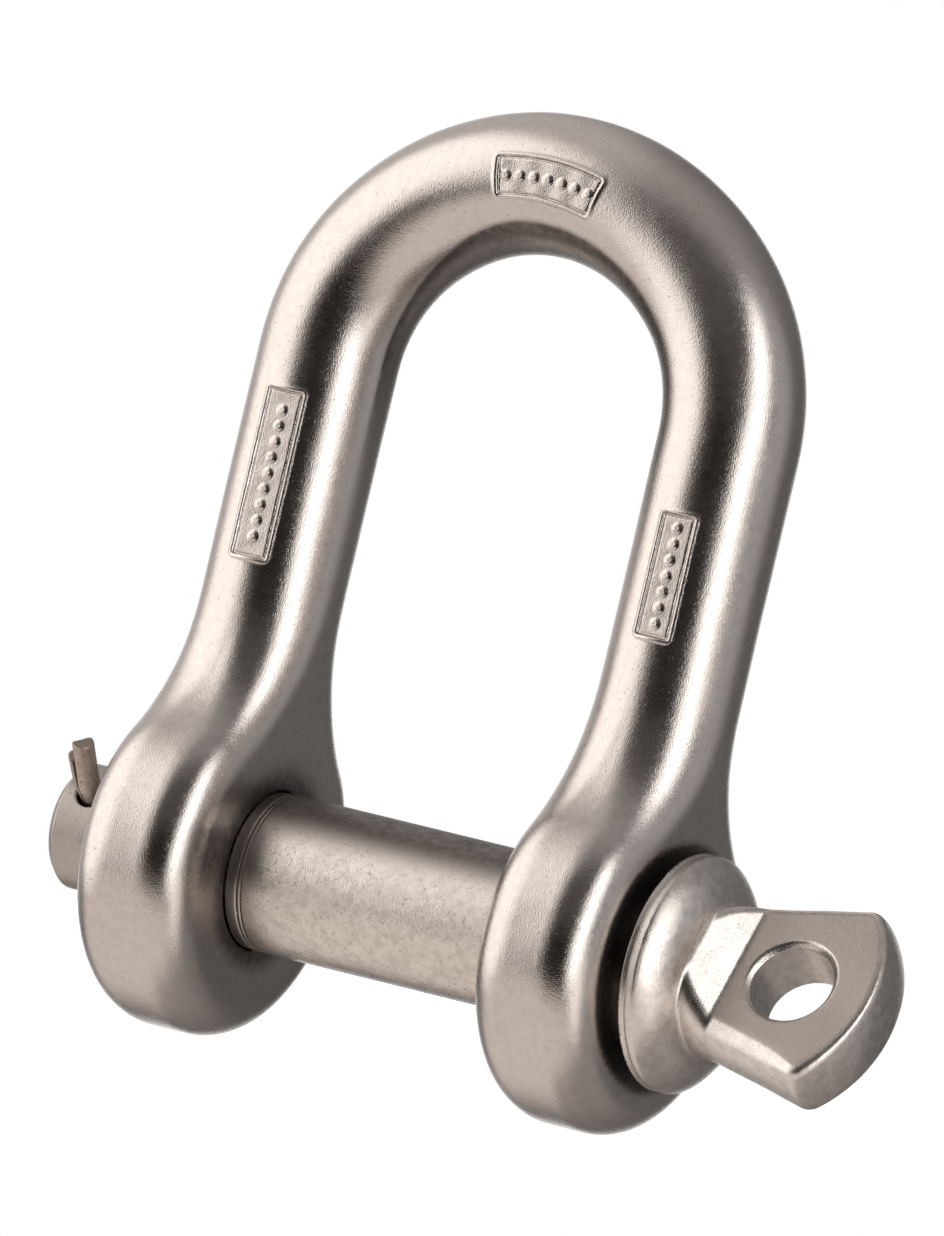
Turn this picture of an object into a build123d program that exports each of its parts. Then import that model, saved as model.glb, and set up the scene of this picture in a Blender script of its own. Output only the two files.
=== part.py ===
from build123d import *
import os
from math import atan2, cos, radians, sin, sqrt

# Dee shackle, 16 mm bar and 18 mm screw pin, in millimetres.
# Origin: on the pin's axis, midway between the eyes. +X points to the pin's head, +Z to the crown.

# Body: one bar of round section, bent to a dee, with an eye forged at each end
bar_radius = 8.0
leg_x = 26.1  # from the middle to each leg's centre line
leg_top = 57.5  # where the legs end and the crown starts
crown_top = 81.9  # the bar's centre line at the middle of the crown
shoulder_radius = 23.0  # centre line of the two outer arcs of the crown
eye_radius = 19.8
eye_half = 8.0  # half of an eye's thickness as forged
eye_edge = 7.8  # the rounding of an eye's rim
neck_radius = 22.0  # the hollow curve where a leg widens to its eye
neck_top = 34.0
clear_bore = 9.35  # the hole in the eye on the head side
thread_bore = 9.06  # the hole in the threaded eye, at the crests of the thread
bore_chamfer = 0.6
face_radius = 15.5  # the flat machined on both sides of each eye
face_half = 7.5  # half of an eye's thickness between these flats

# Screw pin: shank, collar and neck are turned, and the tab is forged flat
shank_radius = 9.0
tail_radius = 7.2
tail_end = -43.8
tail_start = -35.0
tail_chamfer = 0.9
thread_end = -34.2
runout = (-17.2, -16.0)  # groove at the inner end of the thread
runout_depth = 0.3
collar_back = 35.3
collar_front = 37.0
collar_radius = 13.4
collar_edge = 0.4
neck_start = 40.1
neck_turned_radius = 8.6
tab_tilt = 30.0  # how far the tab is turned about the pin, in degrees
tab_half = 4.0  # half of the tab's thickness
tab_corner_x = 56.6
tab_corner_radius = 12.0  # the tab is a flared round end, flattened on two sides
tab_corner_round = 1.8
tab_end = 61.4
tab_edge = 0.9
ramp_end = 43.9  # where the ramps from the collar meet the flats
ramp_slope = 0.976
eye_hole_x = 50.8
eye_hole_radius = 4.75
eye_hole_chamfer = 0.65

# Split pin through the tail
split_x = -39.7
split_tilt = 33.0  # the cross hole's rise towards the front, in degrees
split_hole_radius = 1.7
split_radius = 1.4  # the two half-round legs together
split_gap = 0.12
split_bend = 25.0  # how far the legs are bent up where they come out, in degrees
split_bend_radius = 2.6
split_exit = 8.3  # from the pin's axis to where the bend starts
split_tips = (5.2, 3.0)  # straight length past the bend, of each leg
split_eye_centre = 10.5  # from the pin's axis to the middle of the eye
split_eye_inner = 1.55

os.makedirs("parts", exist_ok=True)


# ---- body -------------------------------------------------------------------------------------

# The crown is three arcs: a shoulder on each side and a flatter one over the top, all tangent.
shoulder_x = leg_x - shoulder_radius
rise = crown_top - shoulder_radius
top_centre = (rise**2 - shoulder_x**2 - leg_top**2) / (2 * (rise - leg_top))
top_radius = crown_top - top_centre
reach = sqrt(shoulder_x**2 + (leg_top - top_centre) ** 2)
joint_x = shoulder_x * top_radius / reach
joint_z = top_centre + (leg_top - top_centre) * top_radius / reach
shoulder_turn = atan2(leg_top - top_centre, shoulder_x)
shoulder_mid_x = shoulder_x + shoulder_radius * cos(shoulder_turn / 2)
shoulder_mid_z = leg_top + shoulder_radius * sin(shoulder_turn / 2)

# Where the neck's hollow curve leaves the straight leg and meets the eye
neck_z = sqrt((eye_radius + neck_radius) ** 2 - (bar_radius + neck_radius) ** 2)
share = eye_radius / (eye_radius + neck_radius)
meet_y = share * (bar_radius + neck_radius)
meet_z = share * neck_z
hollow_y = bar_radius + neck_radius * (1 - cos(radians(22)))
hollow_z = neck_z - neck_radius * sin(radians(22))

with BuildPart() as shackle_body:
    # each eye with its neck, a plate with fully rounded edges
    for side in (-1, 1):
        with BuildSketch(Plane.YZ.offset(side * leg_x)):
            with BuildLine():
                Line((-bar_radius, neck_top), (bar_radius, neck_top))
                Line((bar_radius, neck_top), (bar_radius, neck_z))
                ThreePointArc((bar_radius, neck_z), (hollow_y, hollow_z), (meet_y, meet_z))
                ThreePointArc((meet_y, meet_z), (0, -eye_radius), (-meet_y, meet_z))
                ThreePointArc((-meet_y, meet_z), (-hollow_y, hollow_z), (-bar_radius, neck_z))
                Line((-bar_radius, neck_z), (-bar_radius, neck_top))
            make_face()
        extrude(amount=eye_half, both=True)
    rims = shackle_body.edges().filter_by(lambda e: e.center().Z < neck_top - 1)
    rims = rims.filter_by(lambda e: abs(abs(e.center().X) - leg_x) > eye_half - 0.1)
    fillet(rims, eye_edge)
    # the bar, up one leg, over the crown and down the other
    with BuildLine(Plane.XZ) as bar_path:
        Line((leg_x, neck_top), (leg_x, leg_top))
        ThreePointArc((leg_x, leg_top), (shoulder_mid_x, shoulder_mid_z), (joint_x, joint_z))
        ThreePointArc((joint_x, joint_z), (0, crown_top), (-joint_x, joint_z))
        ThreePointArc((-joint_x, joint_z), (-shoulder_mid_x, shoulder_mid_z), (-leg_x, leg_top))
        Line((-leg_x, leg_top), (-leg_x, neck_top))
    with BuildSketch(Plane.XY.offset(neck_top)):
        with Locations((leg_x, 0)):
            # all but round: the same section as the top of a neck, so that the two run on smoothly
            RectangleRounded(2 * bar_radius, 2 * bar_radius, eye_edge)
    sweep(path=bar_path.wires()[0])
    # the bores of the two eyes, with chamfered mouths
    for side, bore in ((1, clear_bore), (-1, thread_bore)):
        inner = leg_x - face_half
        outer = leg_x + face_half
        mouth = bore + bore_chamfer + 1
        with BuildSketch(Plane.XZ):
            with BuildLine():
                Polyline(
                    (side * (inner - 1), 0),
                    (side * (inner - 1), mouth),
                    (side * (inner + bore_chamfer), bore),
                    (side * (outer - bore_chamfer), bore),
                    (side * (outer + 1), mouth),
                    (side * (outer + 1), 0),
                    close=True,
                )
            make_face()
        revolve(axis=Axis.X, mode=Mode.SUBTRACT)
    # the machined flats round the bores, one of them the seat under the pin's collar
    for side in (-1, 1):
        for face in (-1, 1):
            with Locations(Plane.YZ.offset(side * leg_x + face * (face_half + eye_half))):
                Cylinder(face_radius, 2 * eye_half, mode=Mode.SUBTRACT)
shackle_body.part.label = "shackle_body"


# ---- screw pin ---------------------------------------------------------------------------------

# The tab stands in the plane through the pin's axis, turned by tab_tilt from upright.
tab_normal = Vector(0, -cos(radians(tab_tilt)), sin(radians(tab_tilt)))
tab_plane = Plane(origin=(0, 0, 0), x_dir=(1, 0, 0), z_dir=tab_normal)
tab_width_way = Vector(0, -sin(radians(tab_tilt)), -cos(radians(tab_tilt)))

# How far the end arc has drawn back from the tip at half the tab's width
crown_depth = tab_end - tab_corner_x
end_radius = (tab_corner_radius**2 + crown_depth**2) / (2 * crown_depth)
end_sag = end_radius - sqrt(end_radius**2 - tab_corner_radius**2 / 4)

# The cross hole's own frame: z along the hole towards the legs' tips, x along the pin
hole_way = Vector(0, -cos(radians(split_tilt)), sin(radians(split_tilt)))
hole_plane = Plane(origin=(split_x, 0, 0), x_dir=(1, 0, 0), z_dir=hole_way)

with BuildPart() as eye_pin:
    # the tab and its neck, turned at first
    with BuildSketch(Plane.XZ):
        with BuildLine():
            Polyline(
                (tab_end, 0),
                (collar_front, 0),
                (collar_front, neck_turned_radius),
                (neck_start, neck_turned_radius),
                (tab_corner_x, tab_corner_radius),
            )
            ThreePointArc(
                (tab_corner_x, tab_corner_radius),
                (tab_end - end_sag, tab_corner_radius / 2),
                (tab_end, 0),
            )
        make_face()
    revolve(axis=Axis.X)
    rim = eye_pin.edges().filter_by(lambda e: abs(e.center().X - tab_corner_x) < 0.1)
    fillet(rim, tab_corner_round)
    # then flattened on two sides, with a ramp up to the collar at the inner end of each flat
    for side in (-1, 1):
        with BuildSketch(Plane(origin=(0, 0, 0), x_dir=(1, 0, 0), z_dir=tab_width_way)):
            with BuildLine():
                Polyline(
                    (tab_end + 1, side * tab_half),
                    (ramp_end, side * tab_half),
                    (ramp_end - 2 * tab_half / ramp_slope, side * 3 * tab_half),
                    (tab_end + 1, side * 3 * tab_half),
                    close=True,
                )
            make_face()
        extrude(amount=2 * tab_corner_radius, both=True, mode=Mode.SUBTRACT)
    outline = eye_pin.edges().filter_by(lambda e: e.center().X > ramp_end + 2)
    outline = outline.filter_by(lambda e: abs(e.center().dot(tab_normal)) > tab_half - 0.1)
    fillet(outline, tab_edge)
    # shank, collar and neck
    with BuildSketch(Plane.XZ):
        with BuildLine():
            Polyline(
                (tail_end, 0),
                (tail_end, tail_radius - tail_chamfer),
                (tail_end + tail_chamfer, tail_radius),
                (tail_start, tail_radius),
                (thread_end, shank_radius - 1.0),
                (thread_end + 1.0, shank_radius),
                (runout[0], shank_radius),
                (runout[0] + runout_depth, shank_radius - runout_depth),
                (runout[1] - runout_depth, shank_radius - runout_depth),
                (runout[1], shank_radius),
                (collar_back, shank_radius),
                (collar_back, collar_radius - collar_edge),
                (collar_back + collar_edge, collar_radius),
                (collar_front, collar_radius),
            )
            ThreePointArc(
                (collar_front, collar_radius),
                (collar_front + 2.1, collar_radius - 2.1),
                (neck_start, neck_turned_radius),
            )
            Polyline(
                (neck_start, neck_turned_radius),
                (neck_start, 0),
                (tail_end, 0),
            )
        make_face()
    revolve(axis=Axis.X)
    # the lanyard hole in the tab, countersunk on both faces
    with Locations(tab_plane):
        with Locations((eye_hole_x, 0)):
            Cylinder(eye_hole_radius, 3 * tab_half, mode=Mode.SUBTRACT)
    rings = eye_pin.edges().filter_by(GeomType.CIRCLE)
    chamfer(rings.filter_by(lambda e: abs(e.radius - eye_hole_radius) < 0.01), eye_hole_chamfer)
    # the cross hole in the tail
    with Locations(hole_plane):
        Cylinder(split_hole_radius, 3 * tail_radius, mode=Mode.SUBTRACT)
eye_pin.part.label = "eye_pin"


# ---- split pin ---------------------------------------------------------------------------------

# The legs run in this plane: its x is along the hole and its y is upwards, square to the hole.
leg_plane = Plane(origin=(split_x, 0, 0), x_dir=hole_way, z_dir=(1, 0, 0))
bend = radians(split_bend)
bent_x = split_exit + split_bend_radius * sin(bend)
bent_y = split_bend_radius * (1 - cos(bend))
half_x = split_exit + split_bend_radius * sin(bend / 2)
half_y = split_bend_radius * (1 - cos(bend / 2))

with BuildPart() as split_pin:
    for side, tip in zip((1, -1), split_tips):
        start = -split_eye_centre + split_eye_inner + split_radius / 2
        with BuildLine(leg_plane) as leg_path:
            Line((start, 0), (split_exit, 0))
            ThreePointArc((split_exit, 0), (half_x, half_y), (bent_x, bent_y))
            Line((bent_x, bent_y), (bent_x + tip * cos(bend), bent_y + tip * sin(bend)))
        with BuildSketch(hole_plane.offset(start)):
            Circle(split_radius)
            with Locations((-side * (2 * split_radius - split_gap / 2), 0)):
                Rectangle(4 * split_radius, 4 * split_radius, mode=Mode.SUBTRACT)
        sweep(path=leg_path.wires()[0])
    # the loop of the eye, half-round wire bent round an axis square to the legs
    with BuildSketch(hole_plane.offset(-split_eye_centre)):
        with Locations((split_eye_inner, 0)):
            Circle(split_radius)
        with Locations((split_eye_inner - split_radius, 0)):
            Rectangle(2 * split_radius, 3 * split_radius, mode=Mode.SUBTRACT)
    revolve(axis=Axis(hole_plane.offset(-split_eye_centre).origin, hole_plane.y_dir))
split_pin.part.label = "split_pin"

export_step(shackle_body.part, "parts/shackle_body.step")
export_step(eye_pin.part, "parts/eye_pin.step")
export_step(split_pin.part, "parts/split_pin.step")
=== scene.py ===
"""Looks for the dee shackle: a forged body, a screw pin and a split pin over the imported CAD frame.

Each piece's shape is a signed distance in millimetres, in the CAD part's sizes, meshed here.
"""

from math import atan2, cos, pi, radians, sin, sqrt

import bpy
import numpy as np
from mathutils import Matrix, Vector


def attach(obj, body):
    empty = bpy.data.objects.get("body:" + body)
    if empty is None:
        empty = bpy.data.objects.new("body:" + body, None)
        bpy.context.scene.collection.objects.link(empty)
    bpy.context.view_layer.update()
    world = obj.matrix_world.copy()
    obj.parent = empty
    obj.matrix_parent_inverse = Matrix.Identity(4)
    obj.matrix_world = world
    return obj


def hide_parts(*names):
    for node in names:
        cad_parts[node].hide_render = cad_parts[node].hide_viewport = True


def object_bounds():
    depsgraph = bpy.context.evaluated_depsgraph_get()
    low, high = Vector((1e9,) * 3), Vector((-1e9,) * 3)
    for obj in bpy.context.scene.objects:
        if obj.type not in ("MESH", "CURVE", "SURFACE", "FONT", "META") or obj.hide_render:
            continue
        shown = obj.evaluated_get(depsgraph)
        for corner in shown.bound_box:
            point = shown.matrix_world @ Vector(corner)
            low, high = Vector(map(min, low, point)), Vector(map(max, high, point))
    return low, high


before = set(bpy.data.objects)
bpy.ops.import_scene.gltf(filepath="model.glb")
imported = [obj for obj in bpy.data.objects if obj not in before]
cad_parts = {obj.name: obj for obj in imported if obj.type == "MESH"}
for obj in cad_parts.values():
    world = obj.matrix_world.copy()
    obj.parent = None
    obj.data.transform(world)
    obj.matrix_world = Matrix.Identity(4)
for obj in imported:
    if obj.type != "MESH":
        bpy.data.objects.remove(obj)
cad_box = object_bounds()

MM = 0.001

# ---- sizes, in millimetres, as in the CAD part --------------------------------------------------

BAR_RADIUS = 8.0
LEG_X = 26.1
LEG_TOP = 57.5
CROWN_TOP = 81.9
SHOULDER_RADIUS = 23.0
EYE_RADIUS = 19.8
EYE_HALF = 7.5
EYE_EDGE = 5.2
NECK_RADIUS = 22.0
CLEAR_BORE = 9.35
THREAD_BORE = 9.06
CLEAR_CHAMFER = 0.6
THREAD_CHAMFER = 0.25
# heights between which the round legs turn into flat-sided eyes, outside and inside the dee
EYE_BLEND_OUTER = 24.0
EYE_BLEND_INNER = 34.0
EYE_BLEND_FOOT = 8.0

SHANK_RADIUS = 9.0
TAIL_RADIUS = 7.2
TAIL_END = -43.8
TAIL_CHAMFER = 0.9
TAIL_STEP = -35.0
THREAD_START = -34.2
THREAD_PITCH = 2.5
THREAD_DEPTH = 1.2
THREAD_CREST = 0.12
# the grooves where the thread runs out and round the collar's rim: (place, width, depth)
RUN_OUT_GROOVES = ((-17.2, 0.14, 0.12), (-16.7, 0.12, 0.10))
RIM_GROOVE = (36.05, 0.15, 0.12)
COLLAR_BACK = 35.3
COLLAR_EDGE = 0.1
COLLAR_FRONT = 37.0
COLLAR_RADIUS = 13.4
NECK_START = 40.1
NECK_TURNED_RADIUS = 8.6
TAB_TILT = radians(30.0)
TAB_HALF = 4.0
TAB_CORNER_X = 56.6
TAB_CORNER_RADIUS = 12.0
TAB_CORNER_ROUND = 2.0
TAB_END = 61.4
RAMP_END = 43.9
RAMP_SLOPE = 0.976
EYE_HOLE_X = 50.8
EYE_HOLE_RADIUS = 4.75
EYE_HOLE_CHAMFER = 0.65

SPLIT_X = -39.7
SPLIT_TILT = radians(33.0)
SPLIT_HOLE_RADIUS = 1.7
SPLIT_RADIUS = 1.4
SPLIT_GAP = 0.12
SPLIT_BEND = radians(25.0)
SPLIT_BEND_RADIUS = 2.6
SPLIT_EXIT = 8.3
SPLIT_EYE_CENTRE = 10.5
SPLIT_EYE_INNER = 1.55
SPLIT_LAY = 0.3  # how far the plane between the legs is turned
SPLIT_SHIFT = 0.2  # the legs lie against one side of the hole
SPLIT_LEAN = 0.09
SPLIT_SPLAY = 0.08
LONG_TIP = 5.1
SHORT_TIP = 2.5
TIP_SLANT = 0.5


# ---- distance helpers ---------------------------------------------------------------------------


def soft_max(a, b, k):
    """The larger of two fields, with the corner between them rounded over about k."""
    h = np.maximum(k - np.abs(a - b), 0.0) / k
    return np.maximum(a, b) + h * h * k * 0.25


def soft_min(a, b, k):
    """The smaller of two fields, with the hollow between them filled over about k."""
    return -soft_max(-a, -b, k)


def smooth_step(low, high, value):
    """0 below low, 1 above high, with a smooth rise between."""
    t = np.clip((value - low) / (high - low), 0.0, 1.0)
    return t * t * (3.0 - 2.0 * t)


def polygon_distance(x, y, corners):
    """Signed distance to a closed polygon, negative inside."""
    best = np.full(x.shape, 1e9)
    inside = np.zeros(x.shape, bool)
    for (ax, ay), (bx, by) in zip(corners, corners[1:] + corners[:1]):
        ex, ey = bx - ax, by - ay
        t = np.clip(((x - ax) * ex + (y - ay) * ey) / (ex * ex + ey * ey), 0.0, 1.0)
        best = np.minimum(best, (x - ax - t * ex) ** 2 + (y - ay - t * ey) ** 2)
        if ey != 0.0:
            crosses = (ay > y) != (by > y)
            inside ^= crosses & (x < ax + (y - ay) * ex / ey)
    return np.where(inside, -1.0, 1.0) * np.sqrt(best)


def box_distance(u, v, half_u, half_v, corner):
    """Signed distance to a rectangle with rounded corners, centred at the origin."""
    du = np.abs(u) - half_u + corner
    dv = np.abs(v) - half_v + corner
    outside = np.hypot(np.maximum(du, 0.0), np.maximum(dv, 0.0))
    return outside + np.minimum(np.maximum(du, dv), 0.0) - corner


def ripple(x, y, z, length, phase):
    """A gentle, irregular swell between about -1 and 1, for the unevenness of forged steel."""
    k = 2.0 * pi / length
    return (
        np.sin(k * (x + 0.4 * z) + phase)
        * np.sin(k * (0.83 * y - 0.3 * x) + 1.7 * phase)
        + np.sin(k * (0.71 * z + 0.5 * y) + 2.3 * phase)
        * np.sin(k * (0.6 * x - 0.77 * y) + 0.6 * phase)
    ) / 2.0


# ---- body ---------------------------------------------------------------------------------------

# The crown's three arcs: a shoulder on each side and a flatter arc over the top, all tangent.
SHOULDER_X = LEG_X - SHOULDER_RADIUS
RISE = CROWN_TOP - SHOULDER_RADIUS
TOP_CENTRE = (RISE**2 - SHOULDER_X**2 - LEG_TOP**2) / (2.0 * (RISE - LEG_TOP))
TOP_RADIUS = CROWN_TOP - TOP_CENTRE
SHOULDER_TURN = atan2(LEG_TOP - TOP_CENTRE, SHOULDER_X)

# The medial sheet of an eye and its neck: a disc joined to the leg's centre line by two hollows.
DISC_RADIUS = EYE_RADIUS - BAR_RADIUS
HOLLOW_RADIUS = NECK_RADIUS + BAR_RADIUS
NECK_Z = sqrt((DISC_RADIUS + HOLLOW_RADIUS) ** 2 - HOLLOW_RADIUS**2)

# Stamped pads on the front of the bar: (kind, middle along, middle across, half length, half width)
PADS = (
    ("crown", 0.3, 0.0, 6.35, 2.15),
    ("left", 43.2, 0.1, 9.5, 2.2),
    ("right", 42.2, 0.2, 6.9, 2.0),
)
PAD_LEVEL = 7.62  # the pads' depth, from the middle of the bar
PAD_CORNER = 0.25
PIP_RELIEF = 0.16
PIP_PITCH = 1.8
PIP_MARGIN = 0.9


def pad_place(kind, x, z):
    """Lengthwise and crosswise place on one of the three pads."""
    if kind == "crown":
        angle = np.arctan2(x, z - TOP_CENTRE)
        return angle * TOP_RADIUS, np.hypot(x, z - TOP_CENTRE) - TOP_RADIUS
    side = -1.0 if kind == "left" else 1.0
    return z, x - side * LEG_X


def pad_relief(u, v, half_u):
    """Height of the row of round pips on a pad, a plain pattern in place of any marks."""
    count = int((half_u - PIP_MARGIN) / PIP_PITCH)
    place = u - PIP_PITCH * np.clip(np.round(u / PIP_PITCH), -count, count)
    return PIP_RELIEF * smooth_step(0.75, 0.3, np.hypot(place, v))


def eye_sheet(y, z):
    """Distance outside the medial sheet of an eye, in the sheet's own plane."""
    y = np.abs(y)
    disc = np.hypot(y, z) - DISC_RADIUS
    line = np.where(z > NECK_Z, y, 1e9)
    sheet = np.minimum(disc, line)
    turn = np.arctan2(z - NECK_Z, y - HOLLOW_RADIUS)
    beside = (z < NECK_Z) & (turn > -pi) & (turn < atan2(-NECK_Z, -HOLLOW_RADIUS))
    hollow = HOLLOW_RADIUS - np.hypot(y - HOLLOW_RADIUS, z - NECK_Z)
    return np.maximum(np.where(beside, hollow, sheet), 0.0)


def bar_distance(x, y, z):
    """The forged bar and its two eyes, before any machining: round legs, flatter-sided eyes."""
    side = np.abs(x)
    turn = np.arctan2(z - LEG_TOP, side - SHOULDER_X)
    shoulder = np.abs(np.hypot(side - SHOULDER_X, z - LEG_TOP) - SHOULDER_RADIUS)
    top = np.abs(np.hypot(x, z - TOP_CENTRE) - TOP_RADIUS)
    crown = np.hypot(np.where((turn <= SHOULDER_TURN) & (turn >= 0.0), shoulder, top), y)
    blend_top = np.where(side > LEG_X, EYE_BLEND_OUTER, EYE_BLEND_INNER)
    eye_share = smooth_step(blend_top, EYE_BLEND_FOOT, z)
    half = BAR_RADIUS - (BAR_RADIUS - EYE_HALF) * eye_share
    edge = BAR_RADIUS - (BAR_RADIUS - EYE_EDGE) * eye_share
    out = eye_sheet(y, z) - (BAR_RADIUS - edge)
    through = np.abs(side - LEG_X) - (half - edge)
    corner = np.hypot(np.maximum(out, 0.0), np.maximum(through, 0.0))
    legs = corner + np.minimum(np.maximum(out, through), 0.0) - edge
    return np.where(z > LEG_TOP, crown - BAR_RADIUS, legs)


def body_field(x, y, z):
    """The forged body with its bores and stamped pads."""
    d = bar_distance(x, y, z)
    # the forging is a little uneven, and never outside the CAD shape
    d = d + 0.05 + 0.035 * ripple(x, y, z, 19.0, 0.6) + 0.008 * ripple(x, y, z, 6.1, 2.0)
    front = y < 0.0
    for kind, middle_u, middle_v, half_u, half_v in PADS:
        u, v = pad_place(kind, x, z)
        u, v = u - middle_u, v - middle_v
        edge = box_distance(u, v, half_u, half_v, PAD_CORNER)
        waves = 0.06 * np.sin(1.9 * u + 0.5) * np.sin(1.1 * v)
        floor = -y - PAD_LEVEL - waves * 0.3 - pad_relief(u, v, half_u)
        groove = 0.14 * np.exp(-(((edge + 0.14) / 0.13) ** 2))
        lip = 0.1 * np.exp(-(((edge - 0.3) / 0.22) ** 2))
        cut = np.minimum(floor + groove, -edge)
        d = np.where(front & (edge < 1.6), d - lip, d)
        d = np.where(front, soft_max(d, np.where(edge < 0.6, np.minimum(cut, 9.0), -9.0), 0.12), d)
    around = np.hypot(y, z)
    bore = np.where(x > 0.0, CLEAR_BORE, THREAD_BORE)
    chamfer = np.where(x > 0.0, CLEAR_CHAMFER, THREAD_CHAMFER)
    face = EYE_HALF - np.abs(np.abs(x) - LEG_X)
    return soft_max(d, np.maximum(bore, bore + chamfer - face) - around, 0.3)


def body_detail(p):
    """Distances to the features that need small faces: the bores' mouths, and the finer pads."""
    x, y, z = p.T
    around = np.hypot(y, z)
    bore = np.where(x > 0.0, CLEAR_BORE, THREAD_BORE)
    face = np.abs(np.abs(np.abs(x) - LEG_X) - EYE_HALF)
    mouth = np.hypot(around - bore, face)
    pads = np.full(x.shape, 1e9)
    for kind, middle_u, middle_v, half_u, half_v in PADS:
        u, v = pad_place(kind, x, z)
        edge = box_distance(u - middle_u, v - middle_v, half_u, half_v, PAD_CORNER)
        pads = np.minimum(pads, np.where(y < 0.0, np.maximum(edge, 0.0), 1e9))
    return mouth, pads


# ---- screw pin ----------------------------------------------------------------------------------


def arc_points(first, middle, last, count):
    """Evenly spaced points on the arc through three points."""
    (ax, ay), (bx, by), (cx, cy) = first, middle, last
    area = 2.0 * (ax * (by - cy) + bx * (cy - ay) + cx * (ay - by))
    a2, b2, c2 = ax * ax + ay * ay, bx * bx + by * by, cx * cx + cy * cy
    mx = (a2 * (by - cy) + b2 * (cy - ay) + c2 * (ay - by)) / area
    my = (a2 * (cx - bx) + b2 * (ax - cx) + c2 * (bx - ax)) / area
    radius = sqrt((ax - mx) ** 2 + (ay - my) ** 2)
    turns = np.linspace(atan2(ay - my, ax - mx), atan2(cy - my, cx - mx), count)
    return [(mx + radius * cos(t), my + radius * sin(t)) for t in turns]


def inset(corners, amount):
    """A closed clockwise outline drawn in by amount, to be rounded by growing it back.

    The sides next to a sharp corner have to be longer than what the corner takes off them.
    """
    moved = []
    for before, here, after in zip(corners[-1:] + corners[:-1], corners, corners[1:] + corners[:1]):
        a = Vector((here[0] - before[0], here[1] - before[1])).normalized()
        b = Vector((after[0] - here[0], after[1] - here[1])).normalized()
        shift = Vector((a.y + b.y, -a.x - b.x))
        shift *= amount / (1.0 + a.dot(b))
        moved.append((here[0] + shift.x, here[1] + shift.y))
    return moved


# Outlines in the half plane of x and the distance from the axis, clockwise, closed below the axis
BELOW_AXIS = -5.0
TURNED_EDGE = 0.25
TURNED_OUTLINE = inset(
    [
        (TAIL_END, BELOW_AXIS),
        (TAIL_END, TAIL_RADIUS - TAIL_CHAMFER),
        (TAIL_END + TAIL_CHAMFER, TAIL_RADIUS),
        (TAIL_STEP, TAIL_RADIUS),
        (THREAD_START, SHANK_RADIUS - 1.0),
        (THREAD_START + 1.0, SHANK_RADIUS),
        (COLLAR_BACK, SHANK_RADIUS),
        (COLLAR_BACK, COLLAR_RADIUS - COLLAR_EDGE),
        (COLLAR_BACK + COLLAR_EDGE, COLLAR_RADIUS),
    ]
    + arc_points((COLLAR_FRONT, COLLAR_RADIUS), (39.1, 11.3), (NECK_START, NECK_TURNED_RADIUS), 15)
    + [(NECK_START, BELOW_AXIS)],
    TURNED_EDGE,
)
# the tab's curved end, from a little way past its corner, so that the side there is long enough
# to be drawn in, to a little way past the axis
TAB_END_ARC = arc_points(
    (TAB_CORNER_X + 0.1, TAB_CORNER_RADIUS - 0.1),
    (TAB_END, 0.0),
    (TAB_CORNER_X + 0.1, 0.1 - TAB_CORNER_RADIUS),
    41,
)[3:24]
TAB_OUTLINE = inset(
    [
        (COLLAR_FRONT, BELOW_AXIS),
        (COLLAR_FRONT, NECK_TURNED_RADIUS),
        (NECK_START, NECK_TURNED_RADIUS),
        (42.5, 8.95),
        (48.0, 10.15),
        (TAB_CORNER_X, TAB_CORNER_RADIUS),
    ]
    + TAB_END_ARC,
    TAB_CORNER_ROUND,
)


def tab_axes(y, z):
    """Across the tab's thickness and across its width."""
    t = -cos(TAB_TILT) * y + sin(TAB_TILT) * z
    w = -sin(TAB_TILT) * y - cos(TAB_TILT) * z
    return t, w


def hole_axes(y, z):
    """Along the cross hole, towards the split pin's tips, and square to it, upwards."""
    along = -cos(SPLIT_TILT) * y + sin(SPLIT_TILT) * z
    rise = sin(SPLIT_TILT) * y + cos(SPLIT_TILT) * z
    return along, rise


def groove_depth(x, place, width, depth):
    """Depth of a soft groove round the pin."""
    return depth * np.exp(-(((x - place) / width) ** 2))


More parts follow.
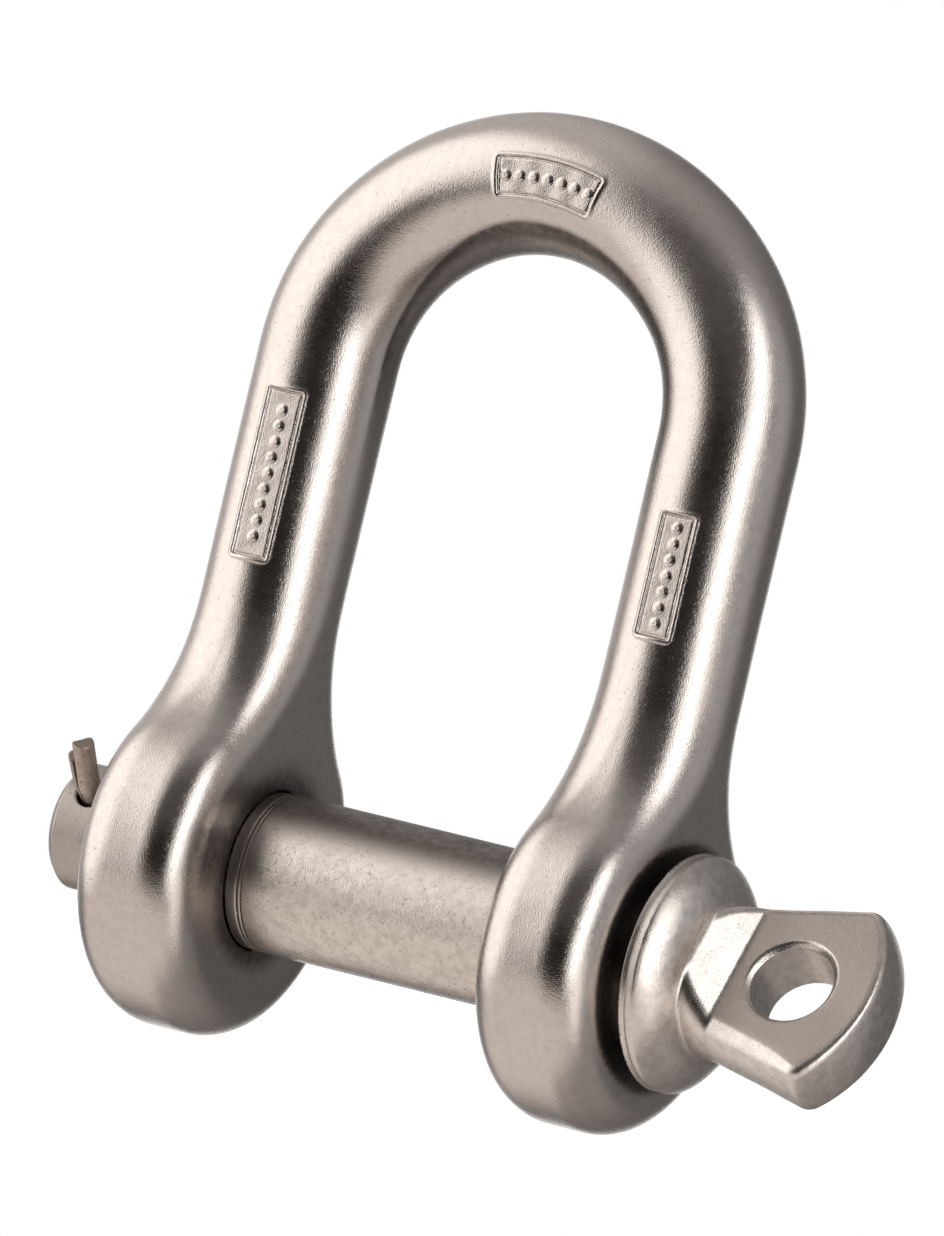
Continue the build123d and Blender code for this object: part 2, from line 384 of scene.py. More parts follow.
def pin_field(x, y, z):
    """The screw pin: shank with its thread and run-out, collar, neck and flattened tab."""
    around = np.hypot(y, z)
    turned = polygon_distance(x, around, TURNED_OUTLINE) - TURNED_EDGE
    # the tab, turned and then flattened, with ramps from the collar up to its flats
    t, w = tab_axes(y, z)
    tab = polygon_distance(x, around, TAB_OUTLINE) - TAB_CORNER_ROUND
    flat = np.abs(t) - TAB_HALF
    ramp = (flat - RAMP_SLOPE * (RAMP_END - x)) / sqrt(1.0 + RAMP_SLOPE**2)
    # the flats' edges are rounded, most of all along the lower side
    lower_edge = smooth_step(3.0, 8.0, w) * smooth_step(60.0, 50.0, x)
    tab = soft_max(tab, soft_min(flat, ramp, 0.3), 0.8 + 1.5 * lower_edge)
    d = soft_min(turned, tab, 0.5)
    # two fine rings and a small step where the thread runs out, and one ring on the collar's rim
    rings = sum(groove_depth(x, *groove) for groove in RUN_OUT_GROOVES)
    rings = rings + 0.05 * smooth_step(-16.9, -17.3, x)
    rim = groove_depth(x, *RIM_GROOVE)
    on_shank = smooth_step(4.0, 7.0, around)
    d = d + on_shank * np.where(x < 0.0, rings, np.where(x < 38.0, rim, 0.0))
    # the thread, a shallow helix that stays inside the eye
    turn = np.arctan2(z, y) / (2.0 * pi)
    phase = np.mod(x / THREAD_PITCH - turn, 1.0)
    depth = THREAD_DEPTH * np.abs(phase - 0.5) * 2.0
    threaded = smooth_step(-34.6, -33.4, x) * smooth_step(-18.6, -19.6, x) * on_shank
    d = d + threaded * np.maximum(depth - THREAD_CREST, 0.0)
    # the lanyard hole with its chamfers
    hole = np.hypot(x - EYE_HOLE_X, w)
    mouth = EYE_HOLE_RADIUS + np.clip(EYE_HOLE_CHAMFER + np.abs(t) - TAB_HALF, 0.0, 1.0)
    d = soft_max(d, mouth - hole, 0.25)
    # the cross hole
    _, rise = hole_axes(y, z)
    cross = SPLIT_HOLE_RADIUS - np.hypot(x - SPLIT_X, rise)
    d = soft_max(d, cross, 0.3)
    # the collar and the tab are as forged, a little uneven
    uneven = 0.06 + 0.045 * ripple(x, y, z, 9.0, 1.1)
    return d + uneven * smooth_step(37.2, 38.5, x)


def pin_detail(p):
    """Distances to the features that need small faces."""
    x, y, z = p.T
    around = np.hypot(y, z)
    t, w = tab_axes(y, z)
    _, rise = hole_axes(y, z)
    on_tab = x > 44.0
    lanyard = np.abs(np.hypot(x - EYE_HOLE_X, w) - EYE_HOLE_RADIUS - 0.3)
    lanyard = lanyard + np.where(on_tab, 0.0, 9.0)
    cross = np.abs(np.hypot(x - SPLIT_X, rise) - SPLIT_HOLE_RADIUS) + np.maximum(6.0 - around, 0.0)
    rings = np.where(around > 8.0, np.abs(x + 16.95), 9.0) - 0.6
    collar = np.hypot(around - 13.2, np.maximum(np.abs(x - 36.1) - 0.7, 0.0))
    neck = np.where((x > 39.5) & (x < 45.5), np.abs(around - 9.0) * 0.8, 9.0)
    crease = np.hypot(x - RAMP_END, np.abs(t) - TAB_HALF)
    on_rim = on_tab & (np.abs(t) > TAB_HALF - 2.2)
    rim = np.where(on_rim, np.abs(polygon_distance(x, around, TAB_OUTLINE) - TAB_CORNER_ROUND), 9.0)
    ends = np.where(x < -42.0, np.abs(around - 6.8), 9.0)
    fine = np.minimum.reduce([lanyard, cross, rings, collar, neck, crease, rim, ends])
    return fine, fine


# ---- split pin ----------------------------------------------------------------------------------


def split_leg(along, rise, across, tip, side):
    """One half-round leg: straight through the hole, then bent up, and cut at a slant."""
    start = -SPLIT_EYE_CENTRE + SPLIT_EYE_INNER + SPLIT_RADIUS / 2.0
    turn = np.arctan2(along - SPLIT_EXIT, SPLIT_BEND_RADIUS - rise)
    arc = np.abs(np.hypot(along - SPLIT_EXIT, rise - SPLIT_BEND_RADIUS) - SPLIT_BEND_RADIUS)
    past = along - SPLIT_EXIT - SPLIT_BEND_RADIUS * sin(SPLIT_BEND)
    up = rise - SPLIT_BEND_RADIUS * (1.0 - cos(SPLIT_BEND))
    run = past * cos(SPLIT_BEND) + up * sin(SPLIT_BEND)
    beside = up * cos(SPLIT_BEND) - past * sin(SPLIT_BEND)
    off = np.abs(beside)
    line = np.where(along < SPLIT_EXIT, np.abs(rise), np.where(turn < SPLIT_BEND, arc, 1e9))
    line = np.where((along > SPLIT_EXIT) & (run > 0.0), off, line)
    line = np.where(line > 1e8, np.hypot(off, np.minimum(run, 0.0)), line)
    wire = np.hypot(line, across) - SPLIT_RADIUS
    # the plane between the legs is turned, so that one lies partly behind the other
    turned = across - SPLIT_LAY * np.where(along < SPLIT_EXIT, rise, beside)
    wire = soft_max(wire, SPLIT_GAP / 2.0 - side * turned / sqrt(1.0 + SPLIT_LAY**2), 0.2)
    wire = soft_max(wire, np.where(run > 0.0, run + TIP_SLANT * across - tip, -tip), 0.2)
    return soft_max(wire, start - along, 0.2)


def split_field(x, y, z):
    """The split pin: two half-round legs and the loop of its eye."""
    along, rise = hole_axes(y, z)
    across = x - SPLIT_X
    outside = np.maximum(along - SPLIT_EXIT, 0.0)
    lean = across - SPLIT_SHIFT + SPLIT_LEAN * outside
    d = split_leg(along, rise, lean, LONG_TIP, 1.0)
    splay = lean + SPLIT_SPLAY * outside
    d = np.minimum(d, split_leg(along, rise, splay, SHORT_TIP, -1.0))
    # the loop, a half-round wire with its flat side inwards
    reach = np.hypot(along + SPLIT_EYE_CENTRE, across)
    loop = np.hypot(reach - SPLIT_EYE_INNER, rise) - SPLIT_RADIUS
    loop = soft_max(loop, SPLIT_EYE_INNER - reach, 0.25)
    return soft_min(d, loop, 0.35)


def split_detail(p):
    """No features: the split pin is small enough to be meshed finely all over."""
    far = np.full(len(p), 9.0)
    return far, far


# ---- meshing ------------------------------------------------------------------------------------


def surface_net(field, low, high, cell):
    """Points and quads of the field's zero surface, one point in each cell that it crosses."""
    axes = [np.arange(a, b + cell, cell) for a, b in zip(low, high)]
    grid = np.meshgrid(*axes, indexing="ij")
    values = field(*grid)
    inside = values < 0.0
    shape = tuple(n - 1 for n in values.shape)
    total = np.zeros(shape + (3,))
    count = np.zeros(shape)
    quads = []
    crossings = []
    for axis in range(3):
        first = [slice(None)] * 3
        second = [slice(None)] * 3
        first[axis], second[axis] = slice(None, -1), slice(1, None)
        first, second = tuple(first), tuple(second)
        index = np.argwhere(inside[first] != inside[second])
        others = [a for a in range(3) if a != axis]
        fits = np.all([(index[:, a] > 0) & (index[:, a] < shape[a]) for a in others], axis=0)
        index = index[fits]
        step = np.zeros(3, int)
        step[axis] = 1
        a = values[tuple(index.T)]
        b = values[tuple((index + step).T)]
        place = np.stack([axes[i][index[:, i]] for i in range(3)], 1)
        place[:, axis] += cell * a / (a - b)
        ring = []
        for du, dv in ((-1, -1), (0, -1), (0, 0), (-1, 0)):
            shift = np.zeros(3, int)
            shift[others[0]], shift[others[1]] = du, dv
            around = index + shift
            ring.append(around)
            np.add.at(total, tuple(around.T), place)
            np.add.at(count, tuple(around.T), 1.0)
        crossings.append((ring, (a < 0.0) == (axis != 1)))
    number = np.full(shape, -1)
    used = count > 0
    number[used] = np.arange(used.sum())
    points = total[used] / count[used][:, None]
    for ring, outward in crossings:
        quad = np.stack([number[tuple(r.T)] for r in ring], 1)
        quad[~outward] = quad[~outward][:, ::-1]
        quads.append(quad)
    return points, np.concatenate(quads)


def gradient(field, p, reach=0.02):
    """The field's gradient at points p."""
    slopes = []
    for axis in range(3):
        step = np.zeros(3)
        step[axis] = reach
        slopes.append((field(*(p + step).T) - field(*(p - step).T)) / (2.0 * reach))
    return np.stack(slopes, 1)


def settle(field, p, times):
    """Moves points onto the zero surface along the gradient."""
    for _ in range(times):
        g = gradient(field, p)
        size = np.maximum((g * g).sum(1), 0.05)
        shift = g * (field(*p.T) / size)[:, None]
        length = np.linalg.norm(shift, axis=1, keepdims=True)
        p = p - shift * np.minimum(1.0, 0.4 / np.maximum(length, 1e-9))
    return p


def relax(field, p, quads, times):
    """Evens out the points over the surface, and keeps them on it."""
    ends = np.concatenate([quads[:, [i, (i + 1) % 4]] for i in range(4)])
    for _ in range(times):
        total = np.zeros_like(p)
        for axis in range(3):
            total[:, axis] = np.bincount(ends[:, 0], p[ends[:, 1], axis], len(p))
        count = np.bincount(ends[:, 0], minlength=len(p))
        p = settle(field, total / count[:, None], 1)
    return p


def refine(field, p, quads, corners, near):
    """Splits the quads near a feature into four, and adds the new points to their neighbours."""
    middle = p[quads].mean(1)
    split = near(middle)
    inner = quads[split]
    ends = np.concatenate([inner[:, [i, (i + 1) % 4]] for i in range(4)])
    low, high = ends.min(1), ends.max(1)
    key, where, back = np.unique(
        low.astype(np.int64) * len(p) + high, return_index=True, return_inverse=True
    )
    halves = (p[low[where]] + p[high[where]]) / 2.0
    first_half, first_middle = len(p), len(p) + len(key)
    mid = first_half + back.reshape(4, -1)
    hub = first_middle + np.arange(len(inner))
    size = len(p)
    p = np.concatenate([p, halves, middle[split]])
    p[size:] = settle(field, p[size:], 2)
    small = [np.stack([inner[:, i], mid[i], hub, mid[i - 1]], 1) for i in range(4)]
    # neighbours that aren't split take the new points of their shared sides
    point_of = dict(zip(key.tolist(), range(first_half, first_middle)))
    kept = quads[~split]
    marked = np.zeros(len(kept), bool)
    for i in range(4):
        a, b = kept[:, i], kept[:, (i + 1) % 4]
        pair = np.minimum(a, b).astype(np.int64) * size + np.maximum(a, b)
        marked |= np.isin(pair, key)
    changed = []
    for face in [list(f) for f in kept[marked]] + corners:
        grown = []
        for a, b in zip(face, face[1:] + face[:1]):
            grown.append(int(a))
            found = point_of.get(int(min(a, b)) * size + int(max(a, b)))
            if found is not None:
                grown.append(found)
        changed.append(grown)
    return p, np.concatenate([kept[~marked]] + small), changed


def field_mesh(name, field, detail, low, high, cell, levels):
    """A mesh of the field's surface, with finer faces near its features and true normals."""
    p, quads = surface_net(field, low, high, cell)
    p = settle(field, p, 3)
    p = relax(field, p, quads, 3)
    p = settle(field, p, 3)
    corners = []
    for level in range(levels):
        reach = cell * (2.2 if level == 0 else 1.1 / level)

        def near(middle):
            coarse, fine = detail(middle)
            return (np.minimum(coarse, fine) if level < 2 else fine) < reach

        p, quads, corners = refine(field, p, quads, corners, near)
    p = settle(field, p, 2)
    normals = gradient(field, p, 0.03)
    normals /= np.maximum(np.linalg.norm(normals, axis=1, keepdims=True), 1e-9)
    mesh = bpy.data.meshes.new(name)
    faces = quads.tolist() + corners
    mesh.from_pydata((p * MM).tolist(), [], faces)
    mesh.shade_smooth()
    mesh.normals_split_custom_set_from_vertices(normals.tolist())
    mesh.validate(verbose=False)
    print("MESH", name, len(p), "points", len(quads), "quads", len(corners), "others")
    return mesh


# ---- materials ----------------------------------------------------------------------------------


class Nodes:
    """Short calls for building a node tree."""

    def __init__(self, tree):
        self.tree = tree
        tree.nodes.clear()

    def add(self, kind, settings=None, **inputs):
        node = self.tree.nodes.new(kind)
        for key, value in (settings or {}).items():
            setattr(node, key, value)
        for key, value in inputs.items():
            self.put(node, key.replace("_", " "), value)
        return node

    def put(self, node, name, value):
        socket = node.inputs[int(name)] if name.isdigit() else node.inputs[name]
        if isinstance(value, bpy.types.NodeSocket):
            self.tree.links.new(value, socket)
        else:
            socket.default_value = value

    def math(self, operation, a, b=0.0, c=0.0, clamp=False):
        node = self.tree.nodes.new("ShaderNodeMath")
        node.operation = operation
        node.use_clamp = clamp
        for i, value in enumerate((a, b, c)):
            self.put(node, str(i), value)
        return node.outputs[0]

    def times(self, a, b):
        return self.math("MULTIPLY", a, b)

    def larger(self, a, b):
        return self.math("MAXIMUM", a, b)

    def split(self, vector):
        """The three parts of a vector."""
        node = self.add("ShaderNodeSeparateXYZ", Vector=vector)
        return [node.outputs[name] for name in "XYZ"]

    def vector(self, operation, a, b=(0.0, 0.0, 0.0)):
        node = self.tree.nodes.new("ShaderNodeVectorMath")
        node.operation = operation
        self.put(node, "0", a)
        self.put(node, "1", b)
        return node.outputs["Value" if operation in ("DOT_PRODUCT", "LENGTH") else "Vector"]

    def ramp(self, value, stops):
        """A colour ramp: stops are (place, grey or colour)."""
        node = self.add("ShaderNodeValToRGB", Fac=value)
        band = node.color_ramp
        while len(band.elements) < len(stops):
            band.elements.new(0.5)
        for element, (place, colour) in zip(band.elements, stops):
            element.position = place
            rgb = (colour,) * 3 if isinstance(colour, float) else colour
            element.color = (*rgb, 1.0)
        return node.outputs["Color"]

    def noise(self, place, scale, detail=2.0, roughness=0.5):
        node = self.add("ShaderNodeTexNoise", Vector=place, Scale=scale, Detail=detail)
        node.inputs["Roughness"].default_value = roughness
        return node.outputs["Fac"]

    def mix(self, factor, a, b):
        node = self.tree.nodes.new("ShaderNodeMix")
        node.data_type = "RGBA"
        self.put(node, "0", factor)
        for i, value in ((6, a), (7, b)):
            if isinstance(value, tuple):
                value = (*value, 1.0)
            self.put(node, str(i), value)
        return node.outputs[2]


def object_place(n, coords):
    """The object's own coordinates, in millimetres."""
    place = n.vector("SCALE", coords.outputs["Object"])
    place.node.inputs["Scale"].default_value = 1000.0
    return place


def steel_shader(n, place, painted_shade, light, dark, rough, grain, pits, depth, blotch):
    """Stainless steel: tumbled grain, small pits, faint stains and roughness that varies.

    The mask after place marks where painted shade darkens the steel, light and dark are its
    colours, rough the average roughness, grain the strength of the relief, pits the share of the
    noise that becomes pits, depth how dark these are, and blotch how strong the stains are.
    """
    fine = n.noise(place, 7.0, 1.0, 0.5)
    coarse = n.noise(place, 0.9, 3.0, 0.6)
    broad = n.noise(place, 0.11, 2.0, 0.5)
    pit_noise = n.noise(place, 2.6, 2.0, 0.55)
    pit = n.ramp(pit_noise, [(0.0, 1.0), (pits, 1.0), (pits + 0.09, 0.0), (1.0, 0.0)])
    # colour: a warm, slightly uneven steel, darker in the pits and stains
    stain = n.ramp(coarse, [(0.32, 1.0), (0.62, 0.0)])
    colour = n.mix(n.math("MULTIPLY", stain, blotch), light, dark)
    colour = n.mix(n.math("MULTIPLY", pit, depth), colour, tuple(0.4 * c for c in dark))
    # painted shade: where the mask is set, the colour is darkened towards a fifth of the dark steel,
    # with a ragged edge
    ragged = n.math("MULTIPLY_ADD", coarse, 0.8, n.math("SUBTRACT", painted_shade, 0.4))
    ragged = n.math("MULTIPLY", n.math("ADD", ragged, 0.0, clamp=True), painted_shade, clamp=True)
    colour = n.mix(ragged, colour, tuple(0.22 * c for c in dark))
    # roughness: even on average, duller in patches and in the pits
    uneven = n.math("MULTIPLY_ADD", broad, 0.14, rough - 0.07)
    uneven = n.math("MULTIPLY_ADD", coarse, 0.10, n.math("SUBTRACT", uneven, 0.05))
    uneven = n.math("ADD", uneven, n.math("MULTIPLY", pit, 0.12))
    uneven = n.math("ADD", uneven, n.math("MULTIPLY", ragged, 0.15), clamp=True)
    # relief
    height = n.math("MULTIPLY_ADD", coarse, 0.02, n.math("MULTIPLY", fine, 0.34))
    height = n.math("SUBTRACT", height, n.math("MULTIPLY", pit, 0.06))
    bump = n.add("ShaderNodeBump", Height=height)
    bump.inputs["Strength"].default_value = grain
    bump.inputs["Distance"].default_value = 0.00012
    shader = n.add("ShaderNodeBsdfPrincipled", Base_Color=colour, Roughness=uneven)
    shader.inputs["Metallic"].default_value = 1.0
    n.put(shader, "Normal", bump.outputs["Normal"])
    return shader.outputs["BSDF"]


POLISHED = {
    "light": (0.66, 0.612, 0.582),
    "dark": (0.50, 0.455, 0.425),
    "rough": 0.20,
    "grain": 0.6,
    "pits": 0.27,
    "depth": 0.3,
    "blotch": 0.3,
}
HEAD = {**POLISHED, "light": (0.79, 0.74, 0.70), "rough": 0.28, "blotch": 0.5}
BLASTED = {
    "light": (0.76, 0.70, 0.655),
    "dark": (0.47, 0.42, 0.38),
    "rough": 0.27,
    "grain": 0.7,
    "pits": 0.29,
    "depth": 0.4,
    "blotch": 0.6,
}
GROUND = {
    "light": (0.50, 0.445, 0.41),
    "dark": (0.39, 0.34, 0.31),
    "rough": 0.42,
    "grain": 0.8,
    "pits": 0.25,
    "depth": 0.2,
    "blotch": 0.25,
}
DRAWN = {
    "light": (0.56, 0.485, 0.43),
    "dark": (0.30, 0.245, 0.205),
    "rough": 0.42,
    "grain": 0.6,
    "pits": 0.30,
    "depth": 0.4,
    "blotch": 0.5,
}


def fade(n, value, low, high):
    """A smooth mask: 0 where the value is at low, 1 where it is at high."""
    node = n.add("ShaderNodeMapRange", {"interpolation_type": "SMOOTHSTEP"}, Value=value)
    node.inputs["From Min"].default_value = low
    node.inputs["From Max"].default_value = high
    return node.outputs["Result"]


def new_material(name):
    """A new node material, its nodes and its texture coordinates."""
    material = bpy.data.materials.new(name)
    material.use_nodes = True
    n = Nodes(material.node_tree)
    return material, n, n.add("ShaderNodeTexCoord")


def wire_steel(name):
    """The split pin's dull drawn wire."""
    material, n, coords = new_material(name)
    out = n.add("ShaderNodeOutputMaterial")
    n.put(out, "Surface", steel_shader(n, object_place(n, coords), 0.0, **DRAWN))
    return material


def inside_dee(n, place, normal):
    """The mask of the painted shade round the inside of the crown, standing for dark reflections
    there, strongest along its front edge.
    """
    x, _, z = n.split(place)
    # which way the middle of the dee is, and how squarely the surface faces it
    above_legs = n.larger(n.math("SUBTRACT", z, LEG_TOP), 0.0)
    inward = n.add("ShaderNodeCombineXYZ", X=n.times(x, -1.0), Z=n.times(above_legs, -1.0))
    inward = n.vector("NORMALIZE", inward.outputs[0])
    facing = n.vector("DOT_PRODUCT", normal, inward)
    # the band starts nearer the front over the crown than along the left leg
    leftness = n.larger(n.split(inward)[0], 0.0)
    front_edge = n.math("MULTIPLY_ADD", n.times(leftness, leftness), -0.61, 0.82)
    past_edge = n.math("ADD", n.split(normal)[1], front_edge)
    strength = n.math("MULTIPLY_ADD", fade(n, past_edge, 0.06, 0.26), -0.22, 0.95)
    band = n.times(fade(n, past_edge, -0.05, 0.05), fade(n, facing, 0.40, 0.55))
    band = n.times(band, fade(n, z, 34.0, 60.0))
    return n.times(band, strength)


def left_eye_face(n, place, around):
    """The mask of the painted shade on the inner face of the threaded eye, standing for dark
    reflections there, heaviest at the pin's height.
    """
    x, _, z = n.split(place)
    at_bore = n.times(fade(n, around, 15.0, 9.5), fade(n, x, -18.9, -18.7))
    lower = n.times(fade(n, around, 19.6, 16.5), fade(n, x, -21.5, -18.9))
    lower = n.times(lower, fade(n, z, 6.0, 2.5))
    strength = n.math("MULTIPLY_ADD", fade(n, z, -6.0, 0.0), 0.35, 0.55)
    return n.times(n.larger(at_bore, n.times(lower, strength)), fade(n, x, 0.0, -1.0))


def body_steel(name):
    """The body's bright forging, with painted shade under the pin's collar and on its inner sides.
    """
    material, n, coords = new_material(name)
    place = object_place(n, coords)
    around = n.vector("LENGTH", n.vector("MULTIPLY", place, (0.0, 1.0, 1.0)))
    # painted shade: the eye's outer face is darkened round the bore, in the gap under the pin's
    # collar
    shade_under_collar = n.times(fade(n, around, 15.4, 13.6), fade(n, n.split(place)[0], 33.0, 33.3))
    painted_shade = n.larger(shade_under_collar, inside_dee(n, place, coords.outputs["Normal"]))
    painted_shade = n.larger(painted_shade, left_eye_face(n, place, around))
    out = n.add("ShaderNodeOutputMaterial")
    n.put(out, "Surface", steel_shader(n, place, painted_shade, **POLISHED))
    return material


def pin_steel(name):
    """The pin's finishes: a matt shank, a bright collar and tab, and ground flats on the tab."""
    material, n, coords = new_material(name)
    place = object_place(n, coords)
    normal = coords.outputs["Normal"]
    along = n.split(place)[0]
    on_head = n.math("GREATER_THAN", along, 35.35)
    past_ramp = n.math("GREATER_THAN", along, RAMP_END - 0.1)
    tab_way = (0.0, -cos(TAB_TILT), sin(TAB_TILT))
    facing = n.math("ABSOLUTE", n.vector("DOT_PRODUCT", normal, tab_way))
    on_flat = n.times(fade(n, facing, 0.97, 0.993), past_ramp)
    head = n.add("ShaderNodeMixShader", Fac=on_flat)
    n.put(head, "1", steel_shader(n, place, 0.0, **HEAD))
    n.put(head, "2", steel_shader(n, place, 0.0, **GROUND))
    # painted shade, standing for dark reflections: the shank is darker beside the thread and along
    # its upper side
    beside_thread = n.times(fade(n, along, -12.0, -17.0), 0.6)
    upper_side = n.times(fade(n, n.split(normal)[2], 0.2, 0.85), 0.88)
    upper_side = n.times(upper_side, fade(n, along, -20.0, -18.0))
    shank = steel_shader(n, place, n.larger(beside_thread, upper_side), **BLASTED)
    both = n.add("ShaderNodeMixShader", Fac=on_head)
    n.put(both, "1", shank)
    n.put(both, "2", head.outputs[0])
    out = n.add("ShaderNodeOutputMaterial")
    n.put(out, "Surface", both.outputs[0])
    return material


# ---- pieces -------------------------------------------------------------------------------------


def piece(name, mesh, material, body, node):
    """A visible piece that stands for one CAD node and rides on its body."""
    obj = bpy.data.objects.new(name, mesh)
    bpy.context.scene.collection.objects.link(obj)
    mesh.materials.append(material)
    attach(obj, body)
    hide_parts(node)


body_material = body_steel("tumbled_steel")
pin_material = pin_steel("pin_steel")
wire_material = wire_steel("drawn_wire")

body_mesh = field_mesh(
    "body_forging", body_field, body_detail, (-35.5, -21, -21), (35.5, 21, 91), 0.9, 3
)
pin_mesh = field_mesh(
    "eye_pin_forging", pin_field, pin_detail, (-45, -14.5, -14.5), (63, 14.5, 14.5), 0.66, 2
)
wire_mesh = field_mesh(
    "split_pin_wire", split_field, split_detail, (-43, -15, -11), (-36.4, 13, 13), 0.2, 0
)
piece("body_forging", body_mesh, body_material, "body", "shackle_body")
piece("eye_pin_forging", pin_mesh, pin_material, "pin", "eye_pin")
piece("split_pin_wire", wire_mesh, wire_material, "cotter", "split_pin")


# ---- studio -------------------------------------------------------------------------------------

# The camera's place, as a direction from the object: turned from the front and barely raised.
VIEW_TURN = radians(29.3)
VIEW_RISE = radians(0.3)
VIEW_ROLL = radians(13.2)
AIM_RIGHT = 6.93  # the frame's middle, in millimetres from the pin's middle as the camera sees it
AIM_UP = 31.98
FRAME_HEIGHT = 137.33
CAMERA_DISTANCE = 2.5
BACK = Vector((sin(VIEW_TURN) * cos(VIEW_RISE), -cos(VIEW_TURN) * cos(VIEW_RISE), sin(VIEW_RISE)))


def soft_box(n, turn, rise, box):
    """A mask in the world: 1 inside a soft-edged rounded patch of turn and rise, in degrees."""
    _, middle, height, half_wide, half_high, lean, edge, _ = box
    level = n.math("MULTIPLY_ADD", rise, 1.0 / half_high, -height / half_high)
    across = n.math("MULTIPLY_ADD", rise, -lean, turn)
    across = n.math("MULTIPLY_ADD", across, 1.0 / half_wide, (lean * height - middle) / half_wide)
    size = n.math(
        "ADD",
        n.math("POWER", n.math("ABSOLUTE", across), 3.0),
        n.math("POWER", n.math("ABSOLUTE", level), 3.0),
    )
    inside = n.add("ShaderNodeMapRange", {"interpolation_type": "SMOOTHSTEP"}, Value=size)
    inside.inputs["From Min"].default_value = 1.0 + edge
    inside.inputs["From Max"].default_value = max(1.0 - edge, 0.0)
    return inside.outputs["Result"]


# (name, turn, rise, half width, half height, lean, edge softness, light), laid over each other.
# The turn is from the front towards +X, in degrees, and the lean is how far it grows with the rise.
BOXES = (
    ("left wall", -84.0, 36.0, 66.0, 48.0, 0.0, 0.8, (0.60, 0.565, 0.54)),
    ("right wall", 98.0, 12.0, 34.0, 46.0, 0.0, 0.9, (0.44, 0.43, 0.43)),
    ("right floor", 112.0, -40.0, 42.0, 26.0, 0.0, 0.8, (0.34, 0.312, 0.295)),
    ("table", -25.0, -56.0, 112.0, 36.0, 0.0, 0.6, (0.82, 0.745, 0.69)),
    ("dark front", 32.0, 12.0, 58.0, 40.0, 0.0, 0.85, (0.09, 0.084, 0.078)),
    ("left window", -63.0, 14.0, 35.0, 36.0, 0.0, 0.55, (1.62, 1.54, 1.47)),
    ("dark core", 16.0, -8.0, 31.0, 20.0, 0.0, 0.6, (0.018, 0.016, 0.015)),
    ("right strip", 67.0, 15.0, 15.0, 34.0, 0.28, 0.5, (2.4, 2.35, 2.3)),
    ("right low", 82.0, -20.0, 15.0, 18.0, 0.0, 0.8, (1.3, 1.22, 1.16)),
    ("backdrop", -151.0, -3.0, 20.0, 18.0, 0.0, 0.6, (1.0, 1.0, 1.0)),
)


def studio_world():
    """A plain studio seen in reflections, and a plain pale background seen directly."""
    world = bpy.data.worlds.new("studio")
    bpy.context.scene.world = world
    world.use_nodes = True
    n = Nodes(world.node_tree)
    direction = n.add("ShaderNodeTexCoord").outputs["Generated"]
    x, y, z = n.split(direction)
    turn = n.math("DEGREES", n.math("ARCTAN2", x, n.times(y, -1.0)))
    rise = n.math("DEGREES", n.math("ARCSINE", z))
    colour = n.ramp(
        n.math("MULTIPLY_ADD", rise, 1.0 / 180.0, 0.5),
        [
            (0.0, (0.48, 0.435, 0.405)),
            (0.14, (0.36, 0.325, 0.305)),
            (0.27, (0.22, 0.200, 0.190)),
            (0.40, (0.15, 0.144, 0.141)),
            (0.58, (0.15, 0.147, 0.147)),
            (0.75, (0.22, 0.212, 0.207)),
            (0.92, (0.35, 0.333, 0.320)),
            (1.0, (0.37, 0.350, 0.336)),
        ],
    )
    for box in BOXES:
        colour = n.mix(soft_box(n, turn, rise, box), colour, box[-1])
    reflected = n.add("ShaderNodeBackground", Color=colour)
    plain = n.add("ShaderNodeBackground")
    plain.inputs["Color"].default_value = (1.0, 1.0, 1.0, 1.0)
    plain.inputs["Strength"].default_value = 1.0
    path = n.add("ShaderNodeLightPath")
    both = n.add("ShaderNodeMixShader", Fac=path.outputs["Is Camera Ray"])
    n.put(both, "1", reflected.outputs[0])
    n.put(both, "2", plain.outputs[0])
    out = n.add("ShaderNodeOutputWorld")
    n.put(out, "Surface", both.outputs[0])


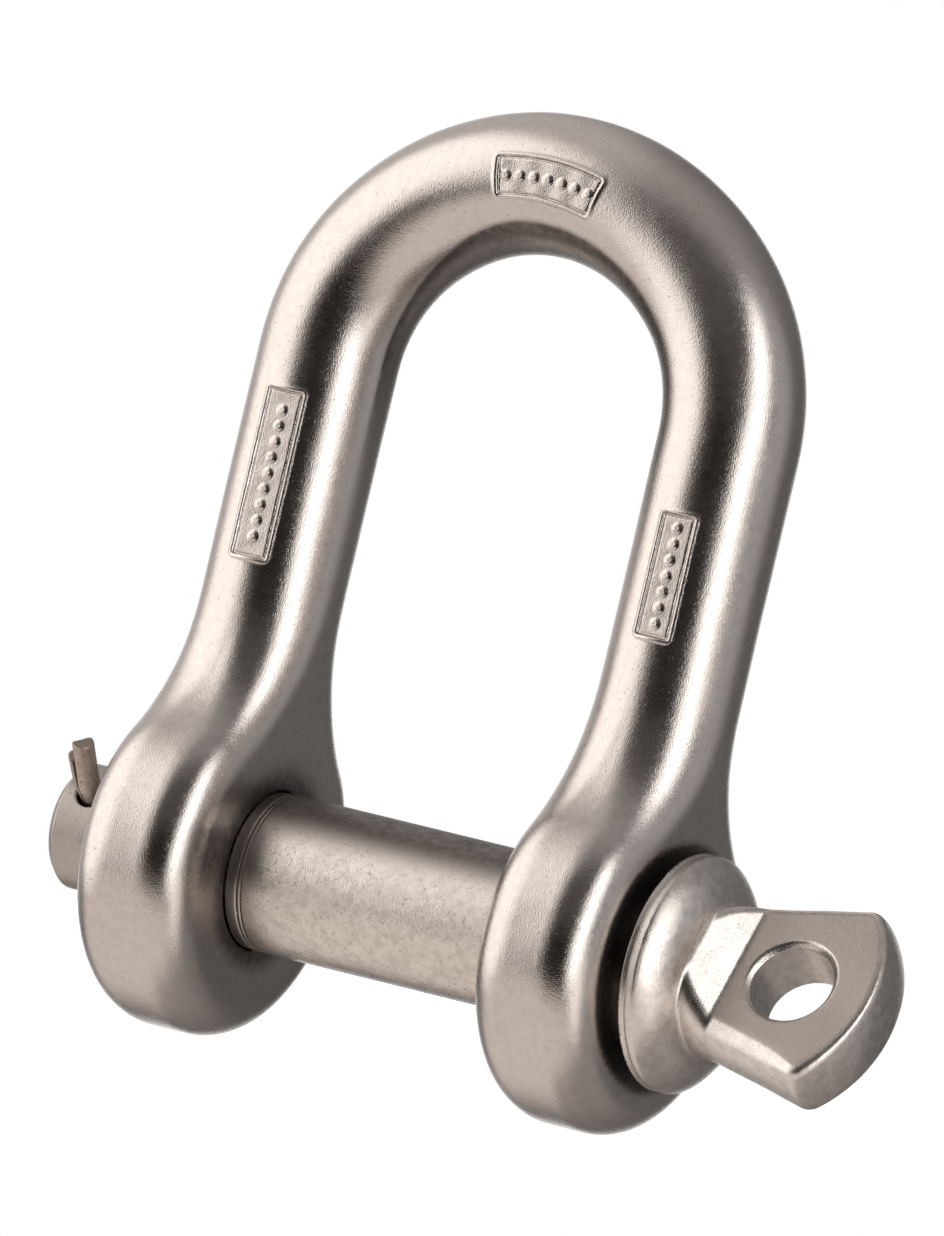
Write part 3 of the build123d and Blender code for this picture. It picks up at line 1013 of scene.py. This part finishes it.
def studio_floor():
    """A plain pale sweep under the object, level with the lowest point of its eyes."""
    material = bpy.data.materials.new("pale_floor")
    material.use_nodes = True
    n = Nodes(material.node_tree)
    shader = n.add("ShaderNodeBsdfPrincipled")
    shader.inputs["Base Color"].default_value = (0.86, 0.85, 0.84, 1.0)
    shader.inputs["Roughness"].default_value = 0.9
    shader.inputs["Emission Color"].default_value = (1.0, 0.985, 0.97, 1.0)
    shader.inputs["Emission Strength"].default_value = 0.85
    out = n.add("ShaderNodeOutputMaterial")
    n.put(out, "Surface", shader.outputs["BSDF"])
    mesh = bpy.data.meshes.new("floor")
    away = Vector((-BACK.x, -BACK.y, 0.0)).normalized()
    side = Vector((away.y, -away.x, 0.0))
    level = cad_box[0].z
    near, far, wide = -0.13, 0.55, 0.5
    places = ((near, -wide), (near, wide), (far, wide), (far, -wide))
    corners = [away * a + side * b for a, b in places]
    mesh.from_pydata([(c.x, c.y, level) for c in corners], [], [(0, 1, 2, 3)])
    if mesh.polygons[0].normal.z < 0.0:
        mesh.flip_normals()
    mesh.materials.append(material)
    floor = bpy.data.objects.new("floor", mesh)
    bpy.context.scene.collection.objects.link(floor)
    floor.visible_glossy = False


def studio_camera():
    """A long lens, rolled as the object leans in the frame."""
    level_right = Vector((cos(VIEW_TURN), sin(VIEW_TURN), 0.0))
    level_up = BACK.cross(level_right)
    right = cos(VIEW_ROLL) * level_right + sin(VIEW_ROLL) * level_up
    up = -sin(VIEW_ROLL) * level_right + cos(VIEW_ROLL) * level_up
    target = (AIM_RIGHT * right + AIM_UP * up) * MM
    data = bpy.data.cameras.new("camera")
    data.sensor_fit = "AUTO"
    data.sensor_width = 36.0
    data.lens = data.sensor_width * CAMERA_DISTANCE / (FRAME_HEIGHT * MM)
    data.clip_start, data.clip_end = 0.1, 20.0
    camera = bpy.data.objects.new("camera", data)
    bpy.context.scene.collection.objects.link(camera)
    turn = Matrix((right, up, BACK)).transposed().to_4x4()
    camera.matrix_world = Matrix.Translation(target + BACK * CAMERA_DISTANCE) @ turn
    bpy.context.scene.camera = camera


studio_world()
studio_floor()
studio_camera()
bpy.context.scene.view_settings.view_transform = "Standard"
